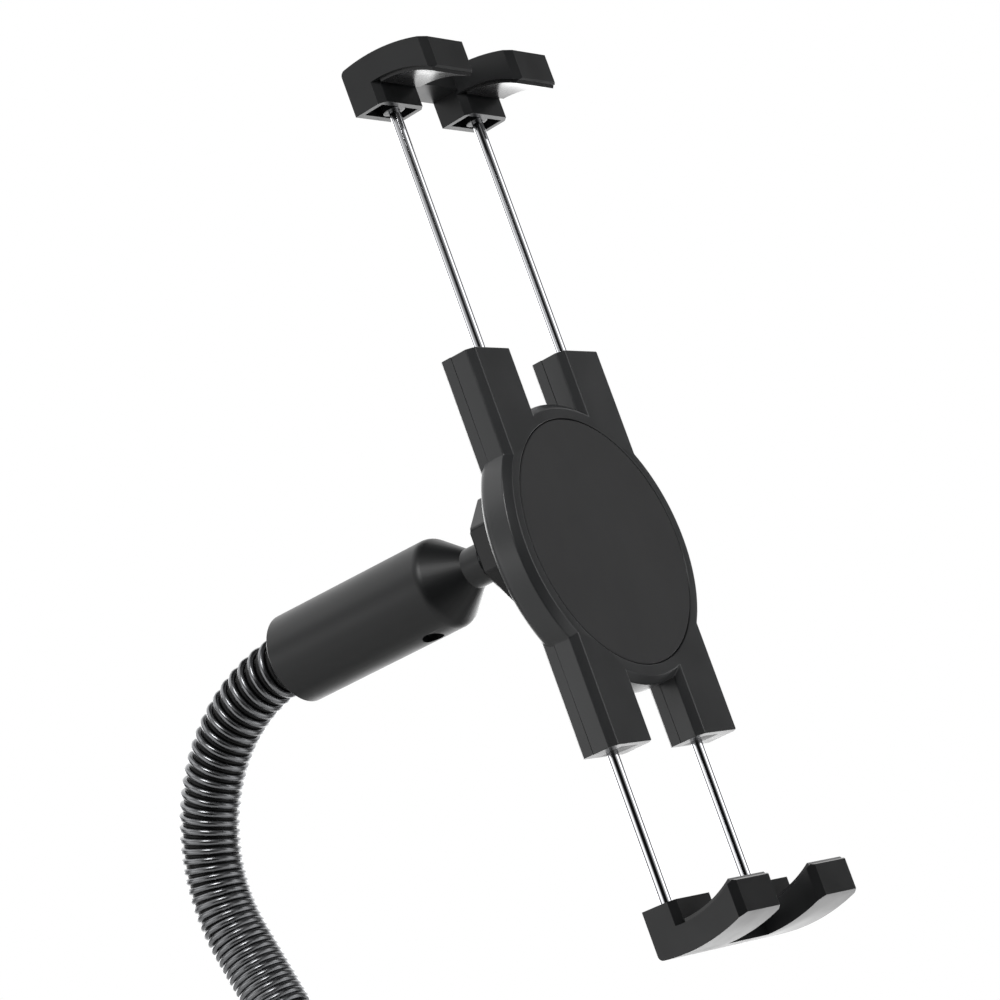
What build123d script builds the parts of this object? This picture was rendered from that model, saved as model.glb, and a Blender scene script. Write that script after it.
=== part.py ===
from build123d import *
import os
from math import asin, cos, degrees, radians, sin

# Gooseneck holder for a phone or a tablet. A bendable neck rises from a plain
# threaded foot, leans back and bends over into a sleeve with a ball on its nose.
# The ball carries the clamp head: a round grip face with four hollow legs, and a
# claw at each end that slides on two steel rods.
# All lengths are in millimetres, with +Z up and the mouth of the foot at the origin.

os.makedirs("parts", exist_ok=True)

# Foot ferrule
FERRULE_RADIUS = 11.0
FERRULE_LENGTH = 30.0
FERRULE_EDGE = 1.0
FERRULE_GRIP_WIDTH = 19.0
FERRULE_GRIP_HEIGHT = 9.0
FOOT_THREAD_RADIUS = 5.0
FOOT_THREAD_DEPTH = 12.0

# Gooseneck winding and the line that it follows
NECK_RADIUS = 8.8
NECK_GROOVE_DEPTH = 1.5
NECK_PITCH = 3.0
NECK_END_RADIUS = 8.3
NECK_END_LENGTH = 14.0
NECK_END_CLEARANCE = 0.1
FOOT_BEND_RADIUS = 36.0
FOOT_TURN = 38.3
NECK_RUN = 24.0
NECK_BEND_RADIUS = 52.3
HEAD_PITCH = 23.7

# Sleeve on the neck's upper end, and its set screw
SLEEVE_RADIUS = 13.0
SLEEVE_LENGTH = 56.0
SLEEVE_CONE_LENGTH = 9.5
SLEEVE_NOSE_RADIUS = 5.7
SLEEVE_NOSE_LENGTH = 6.0
SLEEVE_MOUTH_EDGE = 0.8
SLEEVE_SHOULDER_ROUND = 4.0
SET_SCREW_RADIUS = 3.0
SET_SCREW_LENGTH = 6.0
SET_SCREW_KEY_WIDTH = 3.0
SET_SCREW_KEY_DEPTH = 2.5
SET_SCREW_SETBACK = 8.5
SET_SCREW_TURN = 11.0

# Ball stud and its seats
BALL_RADIUS = 8.5
STUD_RADIUS = 4.0
STUD_GRIP_LENGTH = 32.0
STUD_FLAT_DEPTH = 0.6
BALL_STANDOFF = 12.5
BALL_CLEARANCE = 0.3
SEAT_WALL = 1.4
SEAT_HALF_WIDTH = 1.5
SOCKET_PAD_RADIUS = 3.6
FIT_CLEARANCE = 0.05

# Collet on the back of the head, and its ring nut
COLLET_WALL = 2.0
COLLET_LIP_RADIUS = 7.9
COLLET_LIP_BACK = 5.6
COLLET_LIP_SLOPE = 1.0
COLLET_SLOT_WIDTH = 1.6
COLLET_SLOT_COUNT = 4
COLLET_SLOT_LENGTH = 10.0
COLLET_TAPER = 1.0
COLLET_TAPER_START = 4.6
NUT_SIDE_COUNT = 8
NUT_WIDTH = 29.8
NUT_LENGTH = 9.0
NUT_CORNER_ROUND = 1.6
NUT_EDGE = 1.0
NUT_CLEARANCE = 0.1
SOCKET_DEPTH = 24.0
SOCKET_RISE = 9.6

# Head body: round hub and four legs, with one bevel along the whole front outline
HUB_RADIUS = 39.8
HUB_BACK_ROUND = 3.0
HUB_WALL = 4.0
LEG_CENTRE = 21.0
LEG_WIDTH = 19.4
LEG_REACH = 55.0
FRONT_BEVEL = 1.9
HEAD_THICKNESS = 10.6
PARTING_DEPTH = 7.0
COVER_WALL = 2.0
BACK_EDGE = 0.6
PAD_RADIUS = 34.8
PAD_THICKNESS = 1.4
PAD_CLEARANCE = 0.15
PAD_EDGE_ROUND = 0.5

# Rods and the channels that they run in
ROD_RADIUS = 1.55
ROD_HEAD_WIDTH = 5.0
ROD_HEAD_DEPTH = 2.6
ROD_HEAD_LENGTH = 2.0
ROD_SPARE_TRAVEL = 4.0
ROD_GRIP_LENGTH = 8.5
ROD_CLEARANCE = 0.06
ROD_CENTRE = 19.85
ROD_DEPTH = 6.3
ROD_SIDE_OFFSET = 0.65
ROD_DEPTH_OFFSET = 1.6
CHANNEL_CLEARANCE = 0.3
BUSH_LENGTH = 8.0

# Cover screws
SCREW_RADIUS = 1.3
SCREW_HEAD_RADIUS = 2.7
SCREW_HEAD_HEIGHT = 1.6
SCREW_SINK = 1.8
SCREW_LENGTH = 6.5
SCREW_HEAD_CLEARANCE = 0.2
SCREW_DRIVE_WIDTH = 0.8
SCREW_DRIVE_DEPTH = 0.8
SCREW_BOSS_WALL = 1.8
SCREW_CIRCLE_RADIUS = 29.5

# Claws, each one moulding with two hooks, and how far they stand out
UPPER_EXTENSION = 71.0
LOWER_EXTENSION = 41.2
CLAW_CENTRE = 19.65
CLAW_WIDTH = 19.4
CLAW_BACK = 10.2
CLAW_FRONT = 0.4
CLAW_HEIGHT = 13.0
CLAW_CROWN = 0.6
CLAW_TIP_DEPTH = 17.9
CLAW_TIP_OUTER = 9.8
CLAW_TIP_INNER = 0.6
CLAW_VALLEY = 6.4
CLAW_CHAMFER = 1.8
CLAW_CORNER_ROUND = 1.6
CLAW_LIP_BEVEL = 0.9
BRIDGE_ARCH = 7.6
BRIDGE_SETBACK = 1.0
BASE_RIM = 1.8
BASE_POCKET_DEPTH = 3.5
ROD_BOSS_WALL = 1.5
LINER_THICKNESS = 1.6
LINER_SINK = 0.6
LINER_SIDE_MARGIN = 1.0
LINER_START = 0.8
LINER_END = 1.1

# Sizes that follow from those above
FOOT_ARC = FOOT_BEND_RADIUS * radians(FOOT_TURN)
NECK_TURN = 90.0 + FOOT_TURN - HEAD_PITCH
NECK_ARC = NECK_BEND_RADIUS * radians(NECK_TURN)
NECK_LENGTH = FOOT_ARC + NECK_RUN + NECK_ARC
NECK_BORE_RADIUS = NECK_END_RADIUS + NECK_END_CLEARANCE
STUD_BORE_RADIUS = STUD_RADIUS + FIT_CLEARANCE
SLEEVE_NOSE_END = SLEEVE_LENGTH + SLEEVE_CONE_LENGTH + SLEEVE_NOSE_LENGTH
SET_SCREW_STATION = SLEEVE_LENGTH - SET_SCREW_SETBACK
BALL_REACH = SLEEVE_NOSE_END + BALL_STANDOFF
SEAT_INNER_RADIUS = BALL_RADIUS + BALL_CLEARANCE
SEAT_OUTER_RADIUS = SEAT_INNER_RADIUS + SEAT_WALL
SOCKET_RADIUS = SEAT_OUTER_RADIUS + BALL_CLEARANCE
COLLET_RADIUS = SOCKET_RADIUS + COLLET_WALL
COLLET_LENGTH = COLLET_LIP_BACK + COLLET_LIP_SLOPE
COLLET_TIP_RADIUS = COLLET_RADIUS - COLLET_TAPER
SCREW_GRIP = HEAD_THICKNESS - PARTING_DEPTH - SCREW_SINK
CHANNEL_HALF_WIDTH = ROD_SIDE_OFFSET + ROD_HEAD_WIDTH / 2 + CHANNEL_CLEARANCE
CHANNEL_HALF_DEPTH = ROD_DEPTH_OFFSET + ROD_RADIUS + CHANNEL_CLEARANCE
CHANNEL_FRONT = ROD_DEPTH - CHANNEL_HALF_DEPTH
CHANNEL_BACK = ROD_DEPTH + CHANNEL_HALF_DEPTH
ROD_BORE_RADIUS = ROD_RADIUS + ROD_CLEARANCE
ROD_REACH = UPPER_EXTENSION + ROD_SPARE_TRAVEL
ROD_LENGTH = ROD_GRIP_LENGTH + ROD_REACH + BUSH_LENGTH + ROD_HEAD_LENGTH

SIDEWAYS = Vector(0, 1, 0)


def neck_plane(distance):
    """Plane square to the neck's centre line, a distance along it from the ferrule's mouth."""
    x = 0.0
    z = FERRULE_LENGTH
    heading = 90.0
    for length, turn in ((FOOT_ARC, FOOT_TURN), (NECK_RUN, 0.0), (NECK_ARC, -NECK_TURN)):
        step = min(max(distance, 0.0), length)
        half_turn = turn * step / length / 2
        chord = step
        if turn:
            chord = 2 * length / radians(abs(turn)) * sin(radians(abs(half_turn)))
        x += chord * cos(radians(heading + half_turn))
        z += chord * sin(radians(heading + half_turn))
        heading += 2 * half_turn
        distance -= step
    tangent = (cos(radians(heading)), 0, sin(radians(heading)))
    return Plane(origin=(x, 0, z), x_dir=SIDEWAYS, z_dir=tangent)


# Frames, all with X across the head and Y up along it
sleeve_frame = neck_plane(NECK_LENGTH)
AHEAD = sleeve_frame.z_dir
UPWARD = sleeve_frame.y_dir
ball_frame = sleeve_frame.offset(BALL_REACH)
head_frame = Plane(
    origin=ball_frame.from_local_coords((0, -SOCKET_RISE, SOCKET_DEPTH)), x_dir=SIDEWAYS, z_dir=AHEAD
)


def section_plane(frame):
    """Plane through a frame's axis, with X as the radius and Y along the axis."""
    return Plane(origin=frame.origin, x_dir=SIDEWAYS, z_dir=-UPWARD)


def axis_of(frame):
    """Axis that a frame's turned pieces are revolved about."""
    return Axis(frame.origin, AHEAD)


def leg_plane(side, reach, depth, end):
    """Plane square to a leg at a reach from the hub's middle, facing out at that end."""
    origin = head_frame.from_local_coords((side, end * reach, -depth))
    return Plane(origin=origin, x_dir=SIDEWAYS, z_dir=UPWARD * end)


def rod_place(end, side):
    """Sideways place and depth of a rod: upper rods lie inboard and forward of lower ones."""
    return side * (ROD_CENTRE - end * ROD_SIDE_OFFSET), ROD_DEPTH - end * ROD_DEPTH_OFFSET


def finish(part, name):
    """Labels a finished piece and writes it under its node's name."""
    part.label = name
    export_step(part, f"parts/{name}.step")


ENDS = (("upper", 1, UPPER_EXTENSION), ("lower", -1, LOWER_EXTENSION))
SIDES = (("left", -1), ("right", 1))

# Foot ferrule: turned, with two spanner flats, bored for the neck and tapped from below
with BuildPart() as base_ferrule:
    Cylinder(FERRULE_RADIUS, FERRULE_LENGTH, align=(Align.CENTER, Align.CENTER, Align.MIN))
    chamfer(base_ferrule.edges().filter_by(GeomType.CIRCLE), FERRULE_EDGE)
    with BuildSketch(Plane.XY):
        Circle(2 * FERRULE_RADIUS)
        Rectangle(4 * FERRULE_RADIUS, FERRULE_GRIP_WIDTH, mode=Mode.SUBTRACT)
    extrude(amount=FERRULE_GRIP_HEIGHT, mode=Mode.SUBTRACT)
    with BuildSketch(Plane.XY.offset(FERRULE_LENGTH)):
        Circle(NECK_BORE_RADIUS)
    extrude(amount=-NECK_END_LENGTH, mode=Mode.SUBTRACT)
    with BuildSketch(Plane.XY):
        Circle(FOOT_THREAD_RADIUS)
    extrude(amount=FOOT_THREAD_DEPTH, mode=Mode.SUBTRACT)
finish(base_ferrule.part, "base_ferrule")

# Gooseneck: wound turns along a foot bend, a run and the big bend, with plain crimped ends
turn_count = round(NECK_LENGTH / NECK_PITCH)
turn_step = NECK_LENGTH / turn_count
with BuildPart() as gooseneck:
    for turn in range(turn_count):
        with BuildSketch(neck_plane(turn * turn_step)):
            Circle(NECK_RADIUS - NECK_GROOVE_DEPTH)
        with BuildSketch(neck_plane((turn + 0.5) * turn_step)):
            Circle(NECK_RADIUS)
    with BuildSketch(neck_plane(NECK_LENGTH)):
        Circle(NECK_RADIUS - NECK_GROOVE_DEPTH)
    loft(ruled=True)
    with BuildSketch(neck_plane(0)):
        Circle(NECK_END_RADIUS)
    extrude(amount=-NECK_END_LENGTH)
    with BuildSketch(sleeve_frame):
        Circle(NECK_END_RADIUS)
    extrude(amount=NECK_END_LENGTH)
finish(gooseneck.part, "gooseneck")

# Sleeve: turned cylinder with a coned nose, bored from both ends
with BuildPart() as neck_sleeve:
    with BuildSketch(section_plane(sleeve_frame)) as sleeve_section:
        with BuildLine():
            Polyline(
                (0, NECK_END_LENGTH),
                (NECK_BORE_RADIUS, NECK_END_LENGTH),
                (NECK_BORE_RADIUS, 0),
                (SLEEVE_RADIUS - SLEEVE_MOUTH_EDGE, 0),
                (SLEEVE_RADIUS, SLEEVE_MOUTH_EDGE),
                (SLEEVE_RADIUS, SLEEVE_LENGTH),
                (SLEEVE_NOSE_RADIUS, SLEEVE_LENGTH + SLEEVE_CONE_LENGTH),
                (SLEEVE_NOSE_RADIUS, SLEEVE_NOSE_END),
                (STUD_BORE_RADIUS, SLEEVE_NOSE_END),
                (STUD_BORE_RADIUS, SLEEVE_NOSE_END - STUD_GRIP_LENGTH),
                (0, SLEEVE_NOSE_END - STUD_GRIP_LENGTH),
                close=True,
            )
        make_face()
        fillet(
            sleeve_section.vertices().filter_by_position(Axis.Y, SLEEVE_LENGTH, SLEEVE_LENGTH),
            SLEEVE_SHOULDER_ROUND,
        )
    revolve(axis=axis_of(sleeve_frame))
    screw_plane = Plane(
        origin=sleeve_frame.from_local_coords((0, 0, SET_SCREW_STATION)),
        x_dir=AHEAD,
        z_dir=(-UPWARD).rotate(axis_of(sleeve_frame), -SET_SCREW_TURN),
    )
    with BuildSketch(screw_plane):
        Circle(SET_SCREW_RADIUS + FIT_CLEARANCE)
    extrude(amount=2 * SLEEVE_RADIUS, mode=Mode.SUBTRACT)
finish(neck_sleeve.part, "neck_sleeve")

# Ball stud: ball and shank in one turned piece, with a flat under the set screw
ball_neck_back = -(BALL_RADIUS**2 - STUD_RADIUS**2) ** 0.5
stud_end = -BALL_STANDOFF - STUD_GRIP_LENGTH
with BuildPart() as ball_stud:
    with BuildSketch(section_plane(ball_frame)):
        with BuildLine():
            ThreePointArc((0, BALL_RADIUS), (BALL_RADIUS, 0), (STUD_RADIUS, ball_neck_back))
            Polyline((STUD_RADIUS, ball_neck_back), (STUD_RADIUS, stud_end), (0, stud_end), (0, BALL_RADIUS))
        make_face()
    revolve(axis=axis_of(ball_frame))
    with BuildSketch(screw_plane.offset(STUD_RADIUS - STUD_FLAT_DEPTH)):
        Rectangle(2 * SET_SCREW_RADIUS, 2 * STUD_RADIUS)
    extrude(amount=STUD_RADIUS, mode=Mode.SUBTRACT)
finish(ball_stud.part, "ball_stud")

# Set screw: headless, with a hexagon key hole, its tip on the stud's flat
with BuildPart() as sleeve_set_screw:
    with BuildSketch(screw_plane.offset(STUD_RADIUS - STUD_FLAT_DEPTH)):
        Circle(SET_SCREW_RADIUS)
    extrude(amount=SET_SCREW_LENGTH)
    with BuildSketch(screw_plane.offset(STUD_RADIUS - STUD_FLAT_DEPTH + SET_SCREW_LENGTH)):
        RegularPolygon(SET_SCREW_KEY_WIDTH / 2, 6, major_radius=False)
    extrude(amount=-SET_SCREW_KEY_DEPTH, mode=Mode.SUBTRACT)
finish(sleeve_set_screw.part, "sleeve_set_screw")

# Ball seat: a narrow nylon ring round the ball's middle, spherical inside and out
seat_inner_edge = (SEAT_INNER_RADIUS**2 - SEAT_HALF_WIDTH**2) ** 0.5
seat_outer_edge = (SEAT_OUTER_RADIUS**2 - SEAT_HALF_WIDTH**2) ** 0.5
with BuildPart() as ball_seat:
    with BuildSketch(section_plane(ball_frame)):
        with BuildLine():
            ThreePointArc(
                (seat_inner_edge, -SEAT_HALF_WIDTH),
                (SEAT_INNER_RADIUS, 0),
                (seat_inner_edge, SEAT_HALF_WIDTH),
            )
            Line((seat_inner_edge, SEAT_HALF_WIDTH), (seat_outer_edge, SEAT_HALF_WIDTH))
            ThreePointArc(
                (seat_outer_edge, SEAT_HALF_WIDTH),
                (SEAT_OUTER_RADIUS, 0),
                (seat_outer_edge, -SEAT_HALF_WIDTH),
            )
            Line((seat_outer_edge, -SEAT_HALF_WIDTH), (seat_inner_edge, -SEAT_HALF_WIDTH))
        make_face()
    revolve(axis=axis_of(ball_frame))
finish(ball_seat.part, "ball_seat")

# Socket pad: a small rubber dish on the socket's floor that the ball bears on
pad_floor = SOCKET_RADIUS - FIT_CLEARANCE
pad_rim = (SEAT_INNER_RADIUS**2 - SOCKET_PAD_RADIUS**2) ** 0.5
with BuildPart() as socket_pad:
    with BuildSketch(section_plane(ball_frame)):
        with BuildLine():
            RadiusArc((SOCKET_PAD_RADIUS, pad_rim), (0, SEAT_INNER_RADIUS), -SEAT_INNER_RADIUS)
            Polyline(
                (0, SEAT_INNER_RADIUS),
                (0, pad_floor),
                (SOCKET_PAD_RADIUS, pad_floor),
                (SOCKET_PAD_RADIUS, pad_rim),
            )
        make_face()
    revolve(axis=axis_of(ball_frame))
finish(socket_pad.part, "socket_pad")

# Ring nut: eight flats with rounded corners, coned inside to close the collet
nut_back = ball_frame.offset(-COLLET_LENGTH)
with BuildPart() as ring_nut:
    with BuildSketch(nut_back) as nut_outline:
        RegularPolygon(NUT_WIDTH / 2, NUT_SIDE_COUNT, major_radius=False, rotation=180 / NUT_SIDE_COUNT)
        fillet(nut_outline.vertices(), NUT_CORNER_ROUND)
    extrude(amount=NUT_LENGTH)
    rims = ring_nut.faces().sort_by(axis_of(ball_frame))
    chamfer(rims[0].edges() + rims[-1].edges(), NUT_EDGE)
    with BuildSketch(section_plane(ball_frame)):
        with BuildLine():
            Polyline(
                (0, -2 * COLLET_LENGTH),
                (COLLET_TIP_RADIUS + NUT_CLEARANCE, -2 * COLLET_LENGTH),
                (COLLET_TIP_RADIUS + NUT_CLEARANCE, -COLLET_LENGTH),
                (COLLET_RADIUS + NUT_CLEARANCE, -COLLET_TAPER_START),
                (COLLET_RADIUS + NUT_CLEARANCE, NUT_LENGTH),
                (0, NUT_LENGTH),
                close=True,
            )
        make_face()
    revolve(axis=axis_of(ball_frame), mode=Mode.SUBTRACT)
finish(ring_nut.part, "ring_nut")


def leg_sketch():
    """The two straight bars that make the four legs."""
    with GridLocations(2 * LEG_CENTRE, 0, 2, 1):
        Rectangle(LEG_WIDTH, 2 * LEG_REACH)


def screw_spots():
    """Places of the four cover screws round the hub."""
    return PolarLocations(SCREW_CIRCLE_RADIUS, 4)


def hollow_sketch():
    """Hub pocket with the screw bosses left standing in it."""
    Circle(HUB_RADIUS - HUB_WALL)
    with screw_spots():
        Circle(SCREW_RADIUS + SCREW_BOSS_WALL, mode=Mode.SUBTRACT)


def channel_sketch():
    """The two rod channels that run the length of the legs."""
    with GridLocations(2 * ROD_CENTRE, 0, 2, 1):
        Rectangle(2 * CHANNEL_HALF_WIDTH, 2 * LEG_REACH)


# Front cover: leg fronts and hub in one outline, bevelled all along but for the legs' ends,
# recessed for the grip pad and hollow behind
parting = head_frame.offset(-PARTING_DEPTH)
with BuildPart() as front_cover:
    with BuildSketch(parting):
        Circle(HUB_RADIUS)
        leg_sketch()
    extrude(amount=PARTING_DEPTH)
    front = front_cover.faces().sort_by(axis_of(head_frame))[-1]
    chamfer(front.edges().filter_by(Axis(head_frame.origin, SIDEWAYS), reverse=True), FRONT_BEVEL)
    with BuildSketch(head_frame):
        Circle(PAD_RADIUS + PAD_CLEARANCE)
    extrude(amount=-PAD_THICKNESS, mode=Mode.SUBTRACT)
    with BuildSketch(parting):
        hollow_sketch()
    extrude(amount=PARTING_DEPTH - PAD_THICKNESS - COVER_WALL, mode=Mode.SUBTRACT)
    with BuildSketch(parting):
        channel_sketch()
    extrude(amount=PARTING_DEPTH - CHANNEL_FRONT, mode=Mode.SUBTRACT)
    with BuildSketch(parting):
        with screw_spots():
            Circle(SCREW_RADIUS + FIT_CLEARANCE)
    extrude(amount=SCREW_LENGTH - SCREW_GRIP, mode=Mode.SUBTRACT)
finish(front_cover.part, "front_cover")

# Rear cover: leg backs, hub back and the slotted collet that holds the ball
collet_root = SOCKET_DEPTH - HEAD_THICKNESS + COVER_WALL
with BuildPart() as rear_cover:
    with BuildSketch(parting):
        leg_sketch()
    extrude(amount=PARTING_DEPTH - HEAD_THICKNESS)
    backs = rear_cover.faces().filter_by(Axis(head_frame.origin, AHEAD)).sort_by(axis_of(head_frame))[:2]
    chamfer(backs.edges().filter_by(Axis(head_frame.origin, UPWARD)), BACK_EDGE)
    with BuildSketch(section_plane(parting)) as rim_section:
        Rectangle(HUB_RADIUS, HEAD_THICKNESS - PARTING_DEPTH, align=(Align.MIN, Align.MAX))
        fillet(rim_section.vertices().group_by(Axis.X)[-1].sort_by(Axis.Y)[0], HUB_BACK_ROUND)
    revolve(axis=axis_of(head_frame))
    with BuildSketch(parting):
        hollow_sketch()
    extrude(amount=PARTING_DEPTH + COVER_WALL - HEAD_THICKNESS, mode=Mode.SUBTRACT)
    with BuildSketch(parting):
        channel_sketch()
    extrude(amount=PARTING_DEPTH - CHANNEL_BACK, mode=Mode.SUBTRACT)
    with BuildSketch(section_plane(ball_frame)):
        with BuildLine():
            Polyline(
                (0, SOCKET_RADIUS),
                (SOCKET_RADIUS, SOCKET_RADIUS),
                (SOCKET_RADIUS, COLLET_LIP_SLOPE - COLLET_LIP_BACK),
                (COLLET_LIP_RADIUS, -COLLET_LIP_BACK),
                (COLLET_LIP_RADIUS + COLLET_LIP_SLOPE, -COLLET_LENGTH),
                (COLLET_TIP_RADIUS, -COLLET_LENGTH),
                (COLLET_RADIUS, -COLLET_TAPER_START),
                (COLLET_RADIUS, collet_root),
                (0, collet_root),
                close=True,
            )
        make_face()
    revolve(axis=axis_of(ball_frame))
    with BuildSketch(nut_back):
        with PolarLocations(0, COLLET_SLOT_COUNT):
            Rectangle(COLLET_RADIUS + COLLET_WALL, COLLET_SLOT_WIDTH, align=(Align.MIN, Align.CENTER))
    extrude(amount=COLLET_SLOT_LENGTH, mode=Mode.SUBTRACT)
    with BuildSketch(head_frame.offset(-HEAD_THICKNESS)):
        with screw_spots():
            Circle(SCREW_HEAD_RADIUS + SCREW_HEAD_CLEARANCE)
    extrude(amount=SCREW_SINK, mode=Mode.SUBTRACT)
    with BuildSketch(head_frame.offset(-HEAD_THICKNESS)):
        with screw_spots():
            Circle(SCREW_RADIUS + SCREW_HEAD_CLEARANCE)
    extrude(amount=HEAD_THICKNESS - PARTING_DEPTH, mode=Mode.SUBTRACT)
finish(rear_cover.part, "rear_cover")

# Cover screws: four alike, with pan heads and a cross slot
screw_seat = head_frame.offset(SCREW_SINK - HEAD_THICKNESS)
with BuildPart() as cover_screws:
    with BuildSketch(screw_seat):
        with screw_spots():
            Circle(SCREW_RADIUS)
    extrude(amount=SCREW_LENGTH)
    with BuildSketch(screw_seat):
        with screw_spots():
            Circle(SCREW_HEAD_RADIUS)
    extrude(amount=-SCREW_HEAD_HEIGHT)
    with BuildSketch(screw_seat.offset(-SCREW_HEAD_HEIGHT)):
        with screw_spots():
            Rectangle(SCREW_HEAD_RADIUS, SCREW_DRIVE_WIDTH)
            Rectangle(SCREW_DRIVE_WIDTH, SCREW_HEAD_RADIUS)
    extrude(amount=SCREW_DRIVE_DEPTH, mode=Mode.SUBTRACT)
finish(cover_screws.part, "cover_screws")

# Grip pad: a rubber disc set flush in the hub's rim
with BuildPart() as grip_pad:
    with BuildSketch(head_frame.offset(-PAD_THICKNESS)):
        Circle(PAD_RADIUS)
    extrude(amount=PAD_THICKNESS)
    fillet(grip_pad.edges().filter_by(GeomType.CIRCLE).sort_by(axis_of(head_frame))[-1], PAD_EDGE_ROUND)
finish(grip_pad.part, "grip_pad")


def build_bush(end, side):
    """Nylon plug in a leg's mouth, bored for the rod that runs through it."""
    mouth = leg_plane(side * ROD_CENTRE, LEG_REACH - BUSH_LENGTH, ROD_DEPTH, end)
    with BuildPart() as bush:
        with BuildSketch(mouth):
            Rectangle(2 * CHANNEL_HALF_WIDTH, 2 * CHANNEL_HALF_DEPTH)
            with Locations((-side * end * ROD_SIDE_OFFSET, -ROD_DEPTH_OFFSET)):
                Circle(ROD_BORE_RADIUS, mode=Mode.SUBTRACT)
        extrude(amount=BUSH_LENGTH)
    return bush.part


def build_rod(end, side, extension):
    """Steel rod with a flattened inner end that the bush stops."""
    across, depth = rod_place(end, side)
    inner_end = LEG_REACH + extension + ROD_GRIP_LENGTH - ROD_LENGTH
    with BuildPart() as rod:
        with BuildSketch(leg_plane(across, inner_end + ROD_HEAD_LENGTH, depth, end)):
            Circle(ROD_RADIUS)
        extrude(amount=ROD_LENGTH - ROD_HEAD_LENGTH)
        with BuildSketch(leg_plane(across, inner_end, depth, end)):
            Rectangle(ROD_HEAD_WIDTH, ROD_HEAD_DEPTH)
        extrude(amount=ROD_HEAD_LENGTH)
    return rod.part


# The hook's inner curve is an arc that leaves the block square to its front
hook_run = CLAW_TIP_DEPTH + CLAW_FRONT
hook_drop = CLAW_VALLEY - CLAW_TIP_INNER
HOOK_RADIUS = (hook_run**2 + hook_drop**2) / (2 * hook_drop)
HOOK_CENTRE = (CLAW_VALLEY - HOOK_RADIUS, -CLAW_FRONT)


def claw_frame(end, extension):
    """Frame of a claw with X outwards along the head and Y towards the device."""
    origin = head_frame.from_local_coords((0, end * (LEG_REACH + extension), 0))
    return Plane(origin=origin, x_dir=UPWARD * end, z_dir=SIDEWAYS * end)


def liner_band(frame, inner_radius, outer_radius):
    """Face of a band that follows the hook's inner curve, for a liner or for its groove."""
    first = degrees(asin(LINER_START / HOOK_RADIUS))
    last = degrees(asin((hook_run - LINER_END) / HOOK_RADIUS))
    with BuildSketch(frame) as band:
        with BuildLine():
            inside = CenterArc(HOOK_CENTRE, inner_radius, first, last - first)
            outside = CenterArc(HOOK_CENTRE, outer_radius, first, last - first)
            Line(inside @ 0, outside @ 0)
            Line(inside @ 1, outside @ 1)
        make_face()
    return band.sketch


def hook_outline(frame):
    """Face of a hook seen from the side: its block, crowned top, blunt tip and curved inside."""
    with BuildSketch(frame) as outline:
        with BuildLine():
            Polyline((CLAW_VALLEY, -CLAW_FRONT), (0, -CLAW_FRONT), (0, -CLAW_BACK), (CLAW_HEIGHT, -CLAW_BACK))
            ThreePointArc(
                (CLAW_HEIGHT, -CLAW_BACK),
                (CLAW_HEIGHT + CLAW_CROWN, CLAW_FRONT),
                (CLAW_TIP_OUTER, CLAW_TIP_DEPTH),
            )
            Line((CLAW_TIP_OUTER, CLAW_TIP_DEPTH), (CLAW_TIP_INNER, CLAW_TIP_DEPTH))
            TangentArc((CLAW_VALLEY, -CLAW_FRONT), (CLAW_TIP_INNER, CLAW_TIP_DEPTH), tangent=(0, 1))
        make_face()
        chamfer(outline.vertices().group_by(Axis.Y)[-1].sort_by(Axis.X)[0], CLAW_LIP_BEVEL)
        fillet(outline.vertices().group_by(Axis.Y)[0].sort_by(Axis.X)[-1], CLAW_CORNER_ROUND)
    return outline.sketch


def build_hook(frame, side):
    """One hook and its block, bevelled down its front edges and grooved for its liner."""
    middle = frame.offset(side * CLAW_CENTRE)
    outline = hook_outline(middle)
    groove = liner_band(middle, HOOK_RADIUS - LINER_THICKNESS, HOOK_RADIUS + LINER_SINK)
    with BuildPart() as hook:
        extrude(outline, amount=CLAW_WIDTH / 2, both=True)
        upright = hook.edges().filter_by(Axis(head_frame.origin, UPWARD)).sort_by(axis_of(head_frame))
        chamfer(upright[-2:], CLAW_CHAMFER)
        upright = hook.edges().filter_by(Axis(head_frame.origin, UPWARD))
        depths = [head_frame.to_local_coords(edge.center()).Z for edge in upright]
        fronts = [edge for edge, z in zip(upright, depths) if abs(z + CLAW_FRONT) < FIT_CLEARANCE]
        chamfer(fronts, CLAW_CHAMFER)
        extrude(groove, amount=CLAW_WIDTH / 2 - LINER_SIDE_MARGIN, both=True, mode=Mode.SUBTRACT)
    return hook.part


def build_bridge(frame):
    """Bridge between two hooks: it follows their back and top, arched below and set back in front."""
    outline = hook_outline(frame)
    with BuildPart() as bridge:
        extrude(outline, amount=CLAW_CENTRE, both=True)
        with BuildSketch(frame):
            with Locations((BRIDGE_ARCH, -CLAW_BACK)):
                Rectangle(CLAW_HEIGHT, CLAW_BACK - CLAW_FRONT - BRIDGE_SETBACK, align=(Align.MIN, Align.MIN))
        extrude(amount=CLAW_CENTRE, both=True, mode=Mode.INTERSECT)
    return bridge.part


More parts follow.
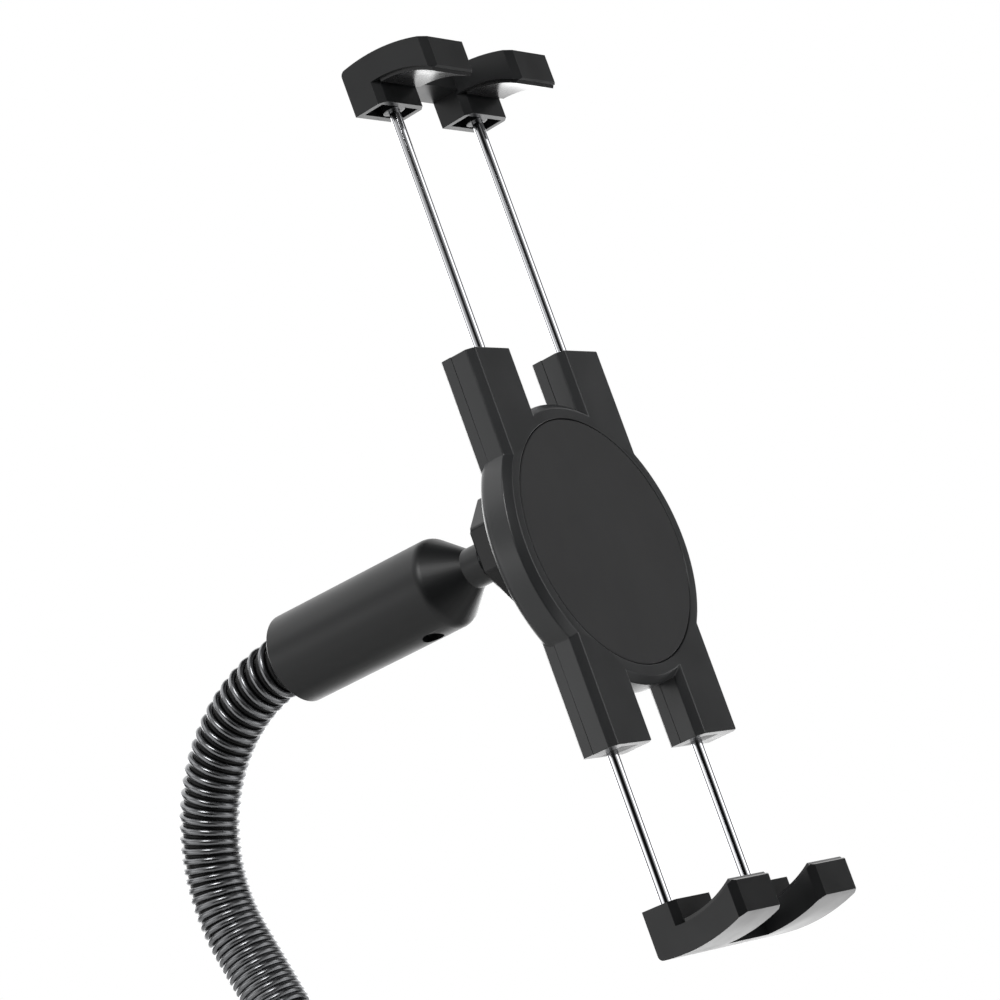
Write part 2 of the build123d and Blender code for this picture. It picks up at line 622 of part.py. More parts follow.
def build_claw(end, extension):
    """Claw moulding: two hooks and the arched bridge between them, hollowed round the rods."""
    frame = claw_frame(end, extension)
    bridge = build_bridge(frame)
    hooks = [build_hook(frame, side) for _, side in SIDES]
    middle_depth = (CLAW_BACK + CLAW_FRONT) / 2
    with BuildPart() as claw:
        add(bridge)
        add(hooks)
        for _, side in SIDES:
            across, depth = rod_place(end, side)
            rod_spot = (across - side * CLAW_CENTRE, end * (depth - middle_depth))
            base = leg_plane(side * CLAW_CENTRE, LEG_REACH + extension, middle_depth, end)
            with BuildSketch(base):
                Rectangle(CLAW_WIDTH - 2 * BASE_RIM, CLAW_BACK - CLAW_FRONT - 2 * BASE_RIM)
                with Locations(rod_spot):
                    Circle(ROD_RADIUS + ROD_BOSS_WALL, mode=Mode.SUBTRACT)
            extrude(amount=BASE_POCKET_DEPTH, mode=Mode.SUBTRACT)
            with BuildSketch(base):
                with Locations(rod_spot):
                    Circle(ROD_RADIUS + FIT_CLEARANCE)
            extrude(amount=ROD_GRIP_LENGTH, mode=Mode.SUBTRACT)
    return claw.part


def build_liner(end, side, extension):
    """Rubber strip let into the inside of a hook."""
    middle = claw_frame(end, extension).offset(end * side * CLAW_CENTRE)
    band = liner_band(middle, HOOK_RADIUS + LINER_SINK - LINER_THICKNESS, HOOK_RADIUS + LINER_SINK)
    with BuildPart() as liner:
        extrude(band, amount=CLAW_WIDTH / 2 - LINER_SIDE_MARGIN, both=True)
    return liner.part


# Both ends: a claw, two rods, their bushes and the claw's two liners
for end_name, end, extension in ENDS:
    finish(build_claw(end, extension), f"{end_name}_claw")
    for side_name, side in SIDES:
        finish(build_bush(end, side), f"{end_name}_{side_name}_bush")
        finish(build_rod(end, side, extension), f"{end_name}_{side_name}_rod")
        finish(build_liner(end, side, extension), f"{end_name}_{side_name}_liner")
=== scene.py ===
"""Dresses a gooseneck holder for a phone or a tablet and sets it in a plain pale studio.

The wound neck is modelled here as real turns of wire. The moulded and turned pieces take their shape from
the fixed frame and get the small rounds that moulds and tools leave on edges.
"""

from math import cos, pi, radians, sin

import bpy
from bpy.props import FloatProperty, FloatVectorProperty, IntProperty, PointerProperty
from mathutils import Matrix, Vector


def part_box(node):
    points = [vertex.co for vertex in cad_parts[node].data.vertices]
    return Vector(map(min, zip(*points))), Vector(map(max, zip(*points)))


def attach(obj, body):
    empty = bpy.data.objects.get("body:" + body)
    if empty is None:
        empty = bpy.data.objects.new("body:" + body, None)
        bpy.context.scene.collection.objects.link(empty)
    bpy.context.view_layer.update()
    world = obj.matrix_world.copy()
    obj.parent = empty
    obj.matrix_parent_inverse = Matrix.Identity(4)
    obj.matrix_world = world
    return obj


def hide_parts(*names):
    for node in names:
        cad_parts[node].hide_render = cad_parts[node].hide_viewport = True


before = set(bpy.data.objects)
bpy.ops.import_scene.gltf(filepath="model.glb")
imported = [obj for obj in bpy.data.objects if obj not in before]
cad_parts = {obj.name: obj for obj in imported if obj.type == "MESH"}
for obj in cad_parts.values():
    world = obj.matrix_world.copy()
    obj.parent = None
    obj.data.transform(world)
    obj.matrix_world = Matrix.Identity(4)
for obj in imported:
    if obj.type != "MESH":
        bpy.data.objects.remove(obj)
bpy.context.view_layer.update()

bl_info = {
    "name": "Gooseneck device holder",
    "version": (1, 0, 0),
    "blender": (4, 5, 0),
    "location": "3D View > Sidebar > Holder",
    "description": "Models the wound neck, softens the moulded head and lights a gooseneck holder",
    "category": "Object",
}

MM = 0.001

# Line of the neck, as in the solid model: a foot bend, a straight run and the big bend over to the sleeve
FERRULE_LENGTH = 30.0 * MM
FOOT_BEND_RADIUS = 36.0 * MM
FOOT_TURN = radians(38.3)
NECK_RUN = 24.0 * MM
NECK_BEND_RADIUS = 52.3 * MM
HEAD_PITCH = radians(23.7)
NECK_TURN = pi / 2 + FOOT_TURN - HEAD_PITCH
FOOT_ARC = FOOT_BEND_RADIUS * FOOT_TURN
NECK_ARC = NECK_BEND_RADIUS * NECK_TURN
NECK_LENGTH = FOOT_ARC + NECK_RUN + NECK_ARC
# Stretch below the sleeve over which the turns close up
OPEN_LENGTH = 105.0 * MM
# How finely the neck's tubes are divided: round the wires, round the core and along the core
WIRE_RESOLUTION = 3
CORE_RESOLUTION = 8
CORE_STEPS = 80

# Limits for rounding edges: points that count as one, facets that count as flat, edges that count as sharp
# or smooth, and how near to the seam an edge lies in it
WELD_DISTANCE = 0.002 * MM
FLAT_ANGLE = radians(0.4)
SHARP_ANGLE = radians(24.0)
SMOOTH_ANGLE = radians(40.0)
SEAM_DISTANCE = 0.01 * MM
WIRE_SMOOTH_ANGLE = radians(50.0)

# Middle of the grip pad, which the camera is set out from, and the way that the pad faces
PAD_MIDDLE = sum(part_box("grip_pad"), Vector()) / 2
AHEAD = Vector((cos(HEAD_PITCH), 0.0, sin(HEAD_PITCH)))
CAMERA_FROM_PAD = Vector((499.99, -773.1, 25.44)) * MM
CAMERA_AZIMUTH = radians(34.6)
CAMERA_ELEVATION = radians(0.907)
CAMERA_LENS = 126.63
CAMERA_SENSOR = 36.0


def linear(hex_colour):
    """Turns an sRGB hex colour into linear red, green and blue."""
    channels = [int(hex_colour[i:i + 2], 16) / 255 for i in (0, 2, 4)]
    return [c / 12.92 if c <= 0.04045 else ((c + 0.055) / 1.055) ** 2.4 for c in channels]


def colour_property(name, description, hex_colour):
    """Colour setting whose default is written as an sRGB hex value."""
    return FloatVectorProperty(
        name=name,
        description=description,
        subtype="COLOR",
        size=3,
        min=0.0,
        max=1.0,
        default=linear(hex_colour),
    )


class HolderSizes(bpy.types.PropertyGroup):
    """Sizes that a user would change."""

    neck_radius: FloatProperty(
        name="Neck radius", description="Outside radius of the wound neck", default=8.8 * MM, unit="LENGTH"
    )
    wire_radius: FloatProperty(
        name="Wire radius", description="Radius of the neck's round wire", default=1.0 * MM, unit="LENGTH"
    )
    filler_radius: FloatProperty(
        name="Filler radius", description="Radius of the second wire, between the turns", default=1.1 * MM,
        unit="LENGTH",
    )
    filler_sink: FloatProperty(
        name="Filler sink", description="How far the second wire lies below the first one's crests",
        default=1.1 * MM, unit="LENGTH",
    )
    core_sink: FloatProperty(
        name="Core sink", description="How far the core lies below the wire's crests", default=2.2 * MM,
        unit="LENGTH",
    )
    open_pitch: FloatProperty(
        name="Open pitch", description="Turn spacing where the neck leaves the sleeve", default=4.3 * MM,
        unit="LENGTH",
    )
    close_pitch: FloatProperty(
        name="Close pitch", description="Turn spacing along the straight run", default=1.92 * MM,
        unit="LENGTH",
    )
    foot_pitch: FloatProperty(
        name="Foot pitch", description="Turn spacing round the tight bend at the foot", default=2.5 * MM,
        unit="LENGTH",
    )
    turn_steps: IntProperty(
        name="Steps per turn", description="Points on each turn of the wire", default=36, min=12
    )
    moulded_round: FloatProperty(
        name="Moulded edge", description="Round on the edges of moulded pieces", default=0.35 * MM,
        unit="LENGTH",
    )
    claw_round: FloatProperty(
        name="Claw edge", description="Round on the edges of the claws", default=0.6 * MM, unit="LENGTH"
    )
    turned_round: FloatProperty(
        name="Turned edge", description="Round on the edges of turned pieces", default=0.5 * MM, unit="LENGTH"
    )
    floor_radius: FloatProperty(
        name="Floor radius", description="Radius of the round studio floor", default=0.15, unit="LENGTH"
    )


class HolderColours(bpy.types.PropertyGroup):
    """Colours that a user would change."""

    abs_plastic: colour_property("ABS", "Charcoal moulded body", "2a2b2c")
    claw_abs: colour_property("Claw ABS", "Black moulded claws", "161718")
    pad_rubber: colour_property("Rubber", "Grip pad and socket pad", "282829")
    silicone: colour_property("Silicone", "Liners in the claws", "1c1c1d")
    sleeve_black: colour_property("Sleeve", "Satin black of the sleeve and the ferrule", "18191a")
    wire_nickel: colour_property("Wire", "Black nickel on the wound wire", "868789")
    # The core's nearly black colour is painted shade for the grooves between the turns
    groove_shade_black: colour_property("Core", "Blackened coil inside the winding", "0c0c0d")
    nut_black: colour_property("Nut", "Glossy black of the ring nut", "141415")
    nylon: colour_property("Nylon", "Bushes and ball seat", "1d1d1e")
    chrome: colour_property("Chrome", "Polished rods", "dcdde0")
    zinc: colour_property("Zinc", "Plated screws and ball stud", "b4b6b8")
    floor: colour_property("Floor", "Pale studio floor", "f2f2f1")


class HolderSettings(bpy.types.PropertyGroup):
    """All settings of the holder."""

    sizes: PointerProperty(type=HolderSizes)
    colours: PointerProperty(type=HolderColours)


# Materials

def add_node(tree, kind, settings=None, links=None):
    """Adds a node, sets its options and sockets, and links its sockets to other nodes' outputs."""
    node = tree.nodes.new(kind)
    for name, value in (settings or {}).items():
        if isinstance(name, int) or name in node.inputs:
            node.inputs[name].default_value = value
        else:
            setattr(node, name, value)
    for name, source in (links or {}).items():
        tree.links.new(source, node.inputs[name])
    return node


def new_surface(name, colour, roughness, settings=None):
    """New material with a Principled surface, and the node tree and Object coordinates to go on with."""
    material = bpy.data.materials.new(name)
    material.use_nodes = True
    tree = material.node_tree
    surface = tree.nodes["Principled BSDF"]
    surface.inputs["Base Color"].default_value = (*colour, 1.0)
    surface.inputs["Roughness"].default_value = roughness
    for socket, value in (settings or {}).items():
        surface.inputs[socket].default_value = value
    place = add_node(tree, "ShaderNodeTexCoord").outputs["Object"]
    return material, tree, surface, place


def per_metre(size_mm):
    """Pattern scale on Object coordinates for a feature of a real size in millimetres."""
    return 1.0 / (size_mm * MM)


def grain_bump(tree, surface, place, size_mm, depth_mm, strength):
    """Raises a fine grain of a real size and depth on a surface."""
    grain = add_node(
        tree,
        "ShaderNodeTexNoise",
        {"Scale": per_metre(size_mm), "Detail": 2.0, "Roughness": 0.6},
        {"Vector": place},
    )
    bump = add_node(
        tree,
        "ShaderNodeBump",
        {"Strength": strength, "Distance": depth_mm * MM},
        {"Height": grain.outputs["Fac"]},
    )
    tree.links.new(bump.outputs["Normal"], surface.inputs["Normal"])


def mottle(tree, surface, place, size_mm, colour, spread, rough_low, rough_high):
    """Lets colour and roughness drift a little over patches of a size, as handled surfaces do."""
    patch = add_node(
        tree, "ShaderNodeTexNoise", {"Scale": per_metre(size_mm), "Detail": 3.0}, {"Vector": place}
    )
    tint = add_node(
        tree,
        "ShaderNodeMix",
        {
            "data_type": "RGBA",
            6: (*[c * (1 - spread) for c in colour], 1.0),
            7: (*[c * (1 + spread) for c in colour], 1.0),
        },
        {0: patch.outputs["Fac"]},
    )
    rough = add_node(
        tree,
        "ShaderNodeMapRange",
        {"From Min": 0.3, "From Max": 0.7, "To Min": rough_low, "To Max": rough_high},
        {"Value": patch.outputs["Fac"]},
    )
    tree.links.new(tint.outputs[2], surface.inputs["Base Color"])
    tree.links.new(rough.outputs["Result"], surface.inputs["Roughness"])


def moulded_abs(colours):
    """ABS from a spark-eroded mould: an even matte charcoal with a soft sheen at low angles.

    The grain is 0.2 mm on the real piece and drawn at 0.5 mm, so that it shows.
    """
    material, tree, surface, place = new_surface("moulded_abs", colours.abs_plastic, 0.32, {"IOR": 1.53})
    grain_bump(tree, surface, place, 0.5, 0.02, 0.2)
    mottle(tree, surface, place, 14.0, colours.abs_plastic, 0.08, 0.29, 0.36)
    return material


def satin_abs(colours):
    """ABS from a smoother mould than the body's: black, with a satin sheen and clearer edges of light."""
    material, tree, surface, place = new_surface("satin_abs", colours.claw_abs, 0.32, {"IOR": 1.45})
    grain_bump(tree, surface, place, 0.5, 0.015, 0.2)
    mottle(tree, surface, place, 12.0, colours.claw_abs, 0.08, 0.29, 0.36)
    return material


def smooth_silicone(colours):
    """Silicone strip from a polished mould: black and smooth, bright only at low angles."""
    material, tree, surface, place = new_surface("smooth_silicone", colours.silicone, 0.25, {"IOR": 1.5})
    grain_bump(tree, surface, place, 1.0, 0.002, 0.1)
    mottle(tree, surface, place, 8.0, colours.silicone, 0.06, 0.22, 0.29)
    return material


def pressed_rubber(colours):
    """Pressed rubber sheet: dull, as dark as the ABS, with a skin-fine bloom."""
    material, tree, surface, place = new_surface("pressed_rubber", colours.pad_rubber, 0.6, {"IOR": 1.45})
    grain_bump(tree, surface, place, 0.6, 0.03, 0.3)
    mottle(tree, surface, place, 20.0, colours.pad_rubber, 0.08, 0.54, 0.64)
    return material


def anodised_aluminium(colours):
    """Turned aluminium, bead blasted and anodised black: satin, with broad soft highlights."""
    material, tree, surface, place = new_surface(
        "anodised_aluminium", colours.sleeve_black, 0.4, {"IOR": 1.48}
    )
    grain_bump(tree, surface, place, 0.4, 0.012, 0.2)
    mottle(tree, surface, place, 18.0, colours.sleeve_black, 0.06, 0.37, 0.44)
    return material


def black_nickel_wire(colours):
    """Drawn spring wire plated in black nickel: a dark mirror with crisp highlights along each turn."""
    material, tree, surface, place = new_surface(
        "black_nickel_wire", colours.wire_nickel, 0.28, {"Metallic": 1.0}
    )
    grain_bump(tree, surface, place, 0.5, 0.01, 0.2)
    mottle(tree, surface, place, 6.0, colours.wire_nickel, 0.12, 0.24, 0.33)
    return material


def groove_shade_steel(colours):
    """Steel of the coil and of the filler wire inside the winding: dull, and coloured nearly black as painted
    shade down in the grooves between the turns.
    """
    material, tree, surface, place = new_surface("groove_shade_steel", colours.groove_shade_black, 0.5, {"IOR": 1.35})
    grain_bump(tree, surface, place, 0.5, 0.02, 0.2)
    mottle(tree, surface, place, 4.0, colours.groove_shade_black, 0.15, 0.45, 0.55)
    return material


def glossy_abs(colours):
    """ABS from a polished mould: deep black with sharp edges of light."""
    material, tree, surface, place = new_surface("glossy_abs", colours.nut_black, 0.22, {"IOR": 1.4})
    grain_bump(tree, surface, place, 1.2, 0.01, 0.15)
    mottle(tree, surface, place, 8.0, colours.nut_black, 0.08, 0.19, 0.27)
    return material


def moulded_nylon(colours):
    """Nylon straight from the mould: waxy and half matte."""
    material, tree, surface, place = new_surface("moulded_nylon", colours.nylon, 0.48, {"IOR": 1.53})
    grain_bump(tree, surface, place, 0.8, 0.02, 0.2)
    mottle(tree, surface, place, 5.0, colours.nylon, 0.08, 0.44, 0.54)
    return material


def chromed_steel(colours):
    """Ground and chromed rod: a mirror with faint grinding rings a third of a millimetre apart."""
    material, tree, surface, place = new_surface("chromed_steel", colours.chrome, 0.07, {"Metallic": 1.0})
    grain_bump(tree, surface, place, 0.35, 0.004, 0.12)
    mottle(tree, surface, place, 9.0, colours.chrome, 0.03, 0.05, 0.10)
    return material


def zinc_plated_steel(colours):
    """Bright zinc plate: pale metal with a soft, slightly cloudy shine."""
    material, tree, surface, place = new_surface("zinc_plated_steel", colours.zinc, 0.3, {"Metallic": 1.0})
    grain_bump(tree, surface, place, 0.5, 0.01, 0.2)
    mottle(tree, surface, place, 3.0, colours.zinc, 0.08, 0.24, 0.36)
    return material


MATERIALS = {}


def coat(piece, finish):
    """Gives a piece one finish over its whole surface, making the finish when it is first used."""
    if finish not in MATERIALS:
        MATERIALS[finish] = finish(bpy.context.scene.holder.colours)
    piece.data.materials.clear()
    piece.data.materials.append(MATERIALS[finish])


# Modelling

def pick_only(piece):
    """Leaves one object selected and active."""
    bpy.ops.object.select_all(action="DESELECT")
    piece.select_set(True)
    bpy.context.view_layer.objects.active = piece


def softened(node, name, width, seam=None):
    """Copy of a frame piece with its sharp edges rounded, standing for that piece.

    Edges that lie in a seam, given as a distance along the way that the pad faces, stay as they are.
    """
    piece = bpy.data.objects.new(name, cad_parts[node].data.copy())
    bpy.context.scene.collection.objects.link(piece)
    pick_only(piece)
    bpy.ops.object.mode_set(mode="EDIT")
    bpy.ops.mesh.select_all(action="SELECT")
    bpy.ops.mesh.remove_doubles(threshold=WELD_DISTANCE)
    bpy.ops.mesh.dissolve_limited(angle_limit=FLAT_ANGLE)
    bpy.ops.mesh.vert_connect_concave()
    bpy.ops.mesh.select_all(action="DESELECT")
    bpy.ops.mesh.select_mode(type="EDGE")
    bpy.ops.mesh.edges_select_sharp(sharpness=SHARP_ANGLE)
    bpy.ops.object.mode_set(mode="OBJECT")
    if seam is not None:
        on_seam = [abs(vertex.co @ AHEAD - seam) < SEAM_DISTANCE for vertex in piece.data.vertices]
        for edge in piece.data.edges:
            edge.select = edge.select and not all(on_seam[end] for end in edge.vertices)
    bpy.ops.object.mode_set(mode="EDIT")
    bpy.ops.mesh.bevel(offset=width, segments=2, profile=0.5, affect="EDGES", clamp_overlap=True)
    bpy.ops.object.mode_set(mode="OBJECT")
    bpy.ops.object.shade_smooth_by_angle(angle=SMOOTH_ANGLE)
    flat = piece.modifiers.new("flat faces", "WEIGHTED_NORMAL")
    flat.keep_sharp = True
    bpy.ops.object.modifier_apply(modifier=flat.name)
    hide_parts(node)
    return piece


def place_piece(piece, body, finish):
    """Sets what a piece moves with and its finish."""
    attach(piece, body)
    coat(piece, finish)


def neck_line(distance):
    """Point and direction on the neck's middle line, a distance along it from the ferrule's mouth."""
    x = 0.0
    z = FERRULE_LENGTH
    heading = pi / 2
    for length, turn in ((FOOT_ARC, FOOT_TURN), (NECK_RUN, 0.0), (NECK_ARC, -NECK_TURN)):
        step = min(max(distance, 0.0), length)
        half_turn = turn * step / length / 2
        chord = step
        if turn:
            chord = 2 * length / abs(turn) * sin(abs(half_turn))
        x += chord * cos(heading + half_turn)
        z += chord * sin(heading + half_turn)
        heading += 2 * half_turn
        distance -= step
    ahead = Vector((cos(heading), 0.0, sin(heading)))
    return Vector((x, 0.0, z)) + ahead * distance, ahead


def swept_tube(name, points, radius, resolution):
    """Mesh tube with closed ends through a run of points."""
    line = bpy.data.curves.new(name, "CURVE")
    line.dimensions = "3D"
    line.bevel_depth = radius
    line.bevel_resolution = resolution
    line.use_fill_caps = True
    spline = line.splines.new("POLY")
    spline.points.add(len(points) - 1)
    for spot, point in zip(spline.points, points):
        spot.co = (*point, 1.0)
    tube = bpy.data.objects.new(name, line)
    bpy.context.scene.collection.objects.link(tube)
    pick_only(tube)
    bpy.ops.object.convert(target="MESH")
    return bpy.context.view_layer.objects.active


class HOLDER_OT_wind_gooseneck(bpy.types.Operator):
    """Wind the neck: a round wire and a lower filler wire over a core, open by the sleeve and close below"""

    bl_idname = "holder.wind_gooseneck"
    bl_label = "Wind gooseneck"

    def execute(self, context):
        sizes = context.scene.holder.sizes
        wire_reach = sizes.neck_radius - sizes.wire_radius
        wire_line = self.turns(sizes, wire_reach, 0.0)
        wire = swept_tube("gooseneck_winding", wire_line, sizes.wire_radius, WIRE_RESOLUTION)
        filler_reach = sizes.neck_radius - sizes.filler_sink - sizes.filler_radius
        filler_line = self.turns(sizes, filler_reach, pi)
        filler = swept_tube("gooseneck_filler", filler_line, sizes.filler_radius, WIRE_RESOLUTION)
        core_line = [neck_line(NECK_LENGTH * step / CORE_STEPS)[0] for step in range(CORE_STEPS + 1)]
        core_radius = sizes.neck_radius - sizes.core_sink
        core = swept_tube("gooseneck_core", core_line, core_radius, CORE_RESOLUTION)
        # The filler wire and the core take the nearly black painted groove shade
        for piece, finish in ((wire, black_nickel_wire), (filler, groove_shade_steel), (core, groove_shade_steel)):
            pick_only(piece)
            bpy.ops.object.shade_smooth_by_angle(angle=WIRE_SMOOTH_ANGLE)
            place_piece(piece, "neck", finish)
        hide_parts("gooseneck")
        return {"FINISHED"}

    def turns(self, sizes, reach, angle):
        """Points of a wire wound round the neck from the sleeve down to the foot, begun at an angle."""
        along = NECK_LENGTH
        points = []
        while along > 0.0:
            middle, ahead = neck_line(along)
            outward = Vector((-ahead.z, 0.0, ahead.x))
            points.append(middle + reach * (cos(angle) * Vector((0.0, 1.0, 0.0)) + sin(angle) * outward))
            opened = max(0.0, 1.0 - (NECK_LENGTH - along) / OPEN_LENGTH)
            pitch = sizes.close_pitch + (sizes.open_pitch - sizes.close_pitch) * opened
            if along < FOOT_ARC:
                pitch = sizes.foot_pitch
            along -= pitch / sizes.turn_steps
            angle += 2 * pi / sizes.turn_steps
        return points


class HOLDER_OT_turn_sleeve(bpy.types.Operator):
    """Soften the edges of the turned sleeve and of the foot's ferrule"""

    bl_idname = "holder.turn_sleeve"
    bl_label = "Turn sleeve and ferrule"

    def execute(self, context):
        width = context.scene.holder.sizes.turned_round
        sleeve = softened("neck_sleeve", "sleeve_body", width)
        place_piece(sleeve, "neck", anodised_aluminium)
        ferrule = softened("base_ferrule", "ferrule_body", width)
        place_piece(ferrule, "neck", anodised_aluminium)
        return {"FINISHED"}


class HOLDER_OT_mould_head(bpy.types.Operator):
    """Soften the edges of the two head covers and of the ring nut"""

    bl_idname = "holder.mould_head"
    bl_label = "Mould head"

    def execute(self, context):
        width = context.scene.holder.sizes.moulded_round
        seam = min(vertex.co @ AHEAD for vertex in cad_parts["front_cover"].data.vertices)
        for node, name in (("front_cover", "head_front"), ("rear_cover", "head_back")):
            place_piece(softened(node, name, width, seam=seam), "head", moulded_abs)
        place_piece(softened("ring_nut", "lock_nut", width), "nut", glossy_abs)
        return {"FINISHED"}


class HOLDER_OT_mould_claws(bpy.types.Operator):
    """Soften the edges of the two claws"""

    bl_idname = "holder.mould_claws"
    bl_label = "Mould claws"

    def execute(self, context):
        width = context.scene.holder.sizes.claw_round
        for body in ("upper", "lower"):
            place_piece(softened(f"{body}_claw", f"{body}_grip", width), body, satin_abs)
        return {"FINISHED"}


class HOLDER_OT_coat_frame_pieces(bpy.types.Operator):
    """Give the pieces that keep their solid shape their own finishes"""

    bl_idname = "holder.coat_frame_pieces"
    bl_label = "Coat rods, pads and fixings"

    def execute(self, context):
        corners = [f"{end}_{side}" for end in ("upper", "lower") for side in ("left", "right")]
        finishes = {
            chromed_steel: [f"{corner}_rod" for corner in corners],
            moulded_nylon: [f"{corner}_bush" for corner in corners] + ["ball_seat"],
            smooth_silicone: [f"{corner}_liner" for corner in corners],
            pressed_rubber: ["grip_pad", "socket_pad"],
            zinc_plated_steel: ["ball_stud", "cover_screws", "sleeve_set_screw"],
        }
        for finish, nodes in finishes.items():
            for node in nodes:
                coat(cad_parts[node], finish)
        return {"FINISHED"}


# Stage

# Brightness of the studio walls from behind the camera, 0, to behind the object, 1
WALLS = (
    (0.0, 0.0),
    (0.08, 0.02),
    (0.14, 0.65),
    (0.25, 0.65),
    (0.31, 0.9),
    (0.52, 0.9),
    (0.60, 0.12),
    (0.80, 0.12),
    (0.87, 2.0),
    (1.0, 2.0),
)
# Share of that brightness from straight down, 0, to straight up, 1: most just below the eye, least overhead
STOREYS = (
    (0.0, 1.0),
    (0.34, 1.0),
    (0.43, 2.0),
    (0.47, 1.8),
    (0.53, 0.7),
    (0.78, 0.7),
    (0.86, 0.15),
    (1.0, 0.15),
)


def area_light(name, place, target, size, power):
    """Square soft light at a place, facing a target and not seen itself."""
    lamp = bpy.data.lights.new(name, "AREA")
    lamp.size = size
    lamp.energy = power
    light = bpy.data.objects.new(name, lamp)
    light.location = place
    light.rotation_euler = (Vector(target) - Vector(place)).to_track_quat("-Z", "Y").to_euler()
    light.visible_camera = False
    bpy.context.scene.collection.objects.link(light)


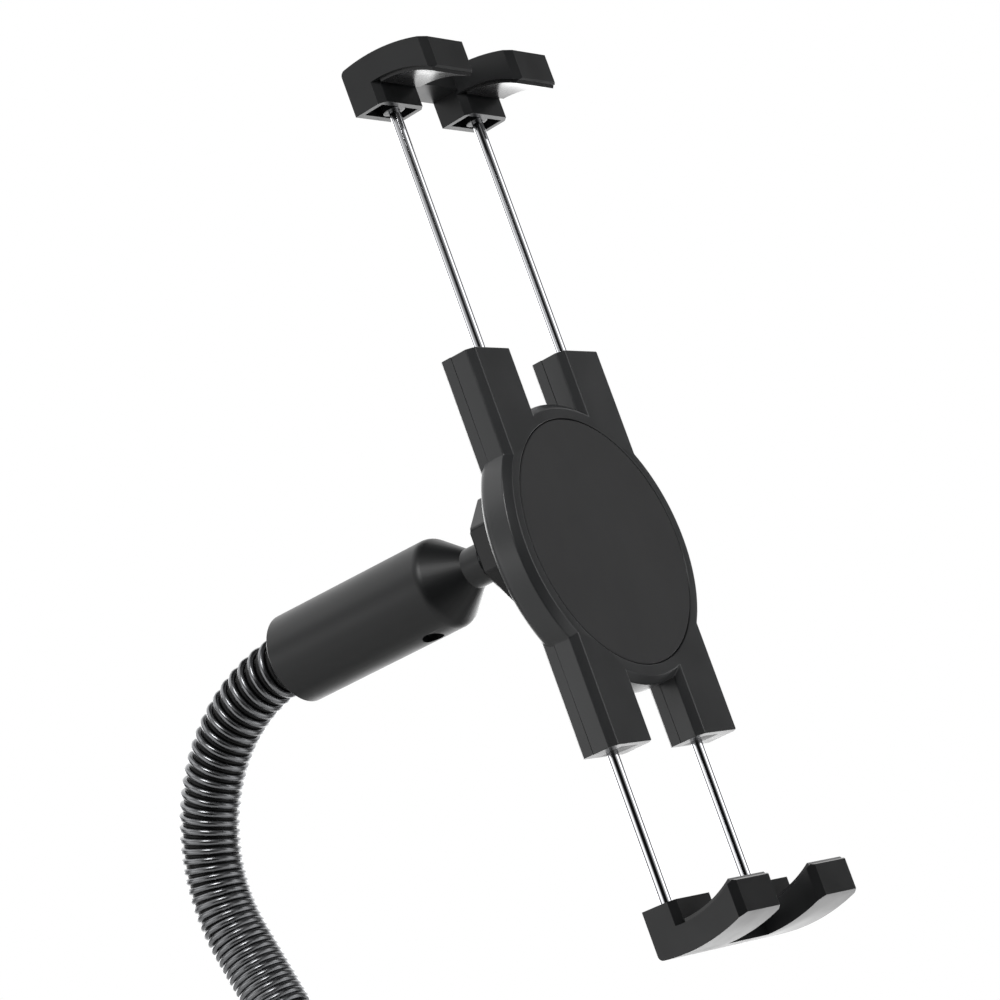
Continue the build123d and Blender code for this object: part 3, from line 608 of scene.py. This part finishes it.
class HOLDER_OT_set_stage(bpy.types.Operator):
    """Lay a pale round floor, hang soft lights and set the camera at the photograph's angle"""

    bl_idname = "holder.set_stage"
    bl_label = "Set stage"

    def execute(self, context):
        settings = context.scene.holder
        bpy.ops.object.select_all(action="DESELECT")
        bpy.ops.mesh.primitive_circle_add(vertices=96, radius=settings.sizes.floor_radius, fill_type="NGON")
        floor = context.active_object
        floor.name = "studio_floor"
        self.paint_floor(floor, settings)
        self.paint_world(context.scene)
        area_light("key_light", (0.16, -0.69, 0.88), PAD_MIDDLE, 0.35, 4.0)
        area_light("rim_light", (-0.61, -0.15, 0.62), (0.025, 0.0, 0.165), 0.7, 1.7)
        area_light("side_light", (0.80, 0.25, 0.69), PAD_MIDDLE, 0.6, 1.5)
        camera_data = bpy.data.cameras.new("camera")
        camera_data.lens = CAMERA_LENS
        camera_data.sensor_width = CAMERA_SENSOR
        camera_data.clip_end = 50.0
        camera = bpy.data.objects.new("camera", camera_data)
        camera.location = PAD_MIDDLE + CAMERA_FROM_PAD
        camera.rotation_euler = (pi / 2 - CAMERA_ELEVATION, 0.0, CAMERA_AZIMUTH)
        context.scene.collection.objects.link(camera)
        context.scene.camera = camera
        context.scene.view_settings.view_transform = "Standard"
        return {"FINISHED"}

    def paint_floor(self, floor, settings):
        """Matte pale floor that keeps its shadow near the foot and fades to the white behind at its rim."""
        material, tree, surface, place = new_surface("matte_paper", settings.colours.floor, 0.9)
        flat = add_node(tree, "ShaderNodeVectorMath", {"operation": "LENGTH"}, {0: place})
        fade = add_node(
            tree,
            "ShaderNodeMapRange",
            {
                "From Min": 0.3 * settings.sizes.floor_radius,
                "From Max": 0.97 * settings.sizes.floor_radius,
                "To Min": 0.4,
            },
            {"Value": flat.outputs["Value"]},
        )
        seen = add_node(tree, "ShaderNodeLightPath")
        rim = add_node(
            tree,
            "ShaderNodeMath",
            {"operation": "MULTIPLY"},
            {0: fade.outputs["Result"], 1: seen.outputs["Is Camera Ray"]},
        )
        white = add_node(tree, "ShaderNodeEmission", {"Color": (1.0, 1.0, 1.0, 1.0), "Strength": 1.0})
        blend = add_node(
            tree,
            "ShaderNodeMixShader",
            None,
            {0: rim.outputs["Value"], 1: surface.outputs["BSDF"], 2: white.outputs["Emission"]},
        )
        tree.links.new(blend.outputs["Shader"], tree.nodes["Material Output"].inputs["Surface"])
        floor.data.materials.append(material)

    def levels_along(self, tree, towards, axis, levels):
        """Brightness that changes along an axis of the room, from levels at places between its two ends."""
        share = add_node(tree, "ShaderNodeVectorMath", {"operation": "DOT_PRODUCT", 1: axis}, {0: towards})
        place = add_node(
            tree, "ShaderNodeMapRange", {"From Min": -1.0, "From Max": 1.0}, {"Value": share.outputs["Value"]}
        )
        ramp = add_node(tree, "ShaderNodeValToRGB", None, {"Fac": place.outputs["Result"]})
        stops = ramp.color_ramp.elements
        stops[0].position, stops[1].position = levels[0][0], levels[-1][0]
        for position, _ in levels[1:-1]:
            stops.new(position)
        for stop, (_, level) in zip(stops, levels):
            stop.color = (level, level, level, 1.0)
        return ramp.outputs["Color"]

    def paint_world(self, scene):
        """Studio walls: white behind the object, pale beside it, dark screens between and a dark ceiling."""
        world = bpy.data.worlds.new("studio")
        world.use_nodes = True
        tree = world.node_tree
        tree.nodes.clear()
        towards = add_node(tree, "ShaderNodeTexCoord").outputs["Generated"]
        away = Vector((-sin(CAMERA_AZIMUTH), cos(CAMERA_AZIMUTH), 0.0))
        walls = self.levels_along(tree, towards, away, WALLS)
        storeys = self.levels_along(tree, towards, (0.0, 0.0, 1.0), STOREYS)
        seen = add_node(tree, "ShaderNodeLightPath")
        white = add_node(tree, "ShaderNodeBackground", {"Color": (1.0, 1.0, 1.0, 1.0), "Strength": 1.0})
        room = add_node(tree, "ShaderNodeBackground", None, {"Color": walls, "Strength": storeys})
        both = add_node(
            tree,
            "ShaderNodeMixShader",
            None,
            {0: seen.outputs["Is Camera Ray"], 1: room.outputs["Background"], 2: white.outputs["Background"]},
        )
        add_node(tree, "ShaderNodeOutputWorld", None, {"Surface": both.outputs["Shader"]})
        scene.world = world


class HOLDER_PT_panel(bpy.types.Panel):
    """Lists the holder's settings and the steps that model it"""

    bl_idname = "HOLDER_PT_panel"
    bl_label = "Gooseneck holder"
    bl_space_type = "VIEW_3D"
    bl_region_type = "UI"
    bl_category = "Holder"

    def draw(self, context):
        for group in (context.scene.holder.sizes, context.scene.holder.colours):
            column = self.layout.column()
            for name in group.bl_rna.properties.keys():
                if name not in ("rna_type", "name"):
                    column.prop(group, name)
        for operator in OPERATORS:
            self.layout.operator(operator.bl_idname)


OPERATORS = (
    HOLDER_OT_set_stage,
    HOLDER_OT_wind_gooseneck,
    HOLDER_OT_turn_sleeve,
    HOLDER_OT_mould_head,
    HOLDER_OT_mould_claws,
    HOLDER_OT_coat_frame_pieces,
)
CLASSES = (HolderSizes, HolderColours, HolderSettings, *OPERATORS, HOLDER_PT_panel)


def register():
    for cls in CLASSES:
        bpy.utils.register_class(cls)
    bpy.types.Scene.holder = PointerProperty(type=HolderSettings)


def unregister():
    del bpy.types.Scene.holder
    for cls in reversed(CLASSES):
        bpy.utils.unregister_class(cls)


def main():
    register()
    bpy.ops.holder.set_stage()
    bpy.ops.holder.wind_gooseneck()
    bpy.ops.holder.turn_sleeve()
    bpy.ops.holder.mould_head()
    bpy.ops.holder.mould_claws()
    bpy.ops.holder.coat_frame_pieces()


if __name__ == "__main__":
    main()
